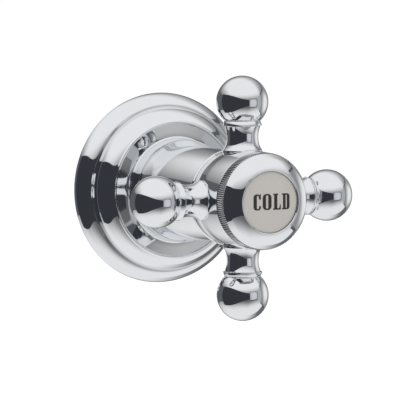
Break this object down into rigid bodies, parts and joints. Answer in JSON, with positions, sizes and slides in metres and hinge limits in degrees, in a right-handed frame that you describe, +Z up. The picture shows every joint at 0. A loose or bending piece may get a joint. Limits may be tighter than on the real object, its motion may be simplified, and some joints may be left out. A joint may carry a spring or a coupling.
{
  "type": "concealed stop valve",
  "caption": "Concealed in-wall stop valve with a stepped chrome rose, a bell-shaped sleeve and a cross handle with ball-ended arms and a porcelain index disc.",
  "frame": {"origin": "centre of the rose's back, in the plane of the finished wall", "axes": "+Y into the wall, along the valve axis; -Y towards the user; +Z up, along the supply pipe; X level"},
  "size_m": [0.0716, 0.0936, 0.0716],
  "materials": {
    "chrome_plate": "polished chrome plate on turned brass",
    "brass": "machined and cast brass, bare",
    "steel": "turned stainless steel",
    "rubber": "black moulded rubber",
    "foam": "closed-cell foam",
    "fibre": "red vulcanised fibre, matt",
    "ptfe": "white low-friction plastic, satin",
    "acetal": "natural acetal, moulded",
    "alumina": "lapped alumina ceramic",
    "porcelain": "cream glazed porcelain"
  },
  "bodies": {
    "root": {"rose": "chrome_plate", "rose_seal": "foam", "valve_body": "brass", "seat_seal": "rubber", "fixed_ceramic_disc": "alumina", "cartridge_housing": "brass", "housing_seal": "fibre", "thrust_washer": "ptfe", "sleeve_carrier": "brass", "sleeve": "chrome_plate", "sleeve_seal": "rubber"},
    "handle": {"turning_ceramic_disc": "alumina", "spindle": "brass", "spindle_seal_inner": "rubber", "spindle_seal_outer": "rubber", "stop_ring": "steel", "circlip": "steel", "spindle_extension": "brass", "extension_set_screw": "steel", "spline_insert": "acetal", "handle_hub": "chrome_plate", "handle_washer": "steel", "handle_screw": "steel", "index_ring": "chrome_plate", "index_disc": "porcelain", "handle_arm_right": "chrome_plate", "handle_arm_top": "chrome_plate", "handle_arm_left": "chrome_plate", "handle_arm_bottom": "chrome_plate"}
  },
  "joints": [
    {"name": "handle_turn", "type": "hinge", "parent": "root", "child": "handle", "pos_m": [0, -0.0531, 0], "axis": [0, -1, 0], "range_deg": [0, 90]}
  ]
}
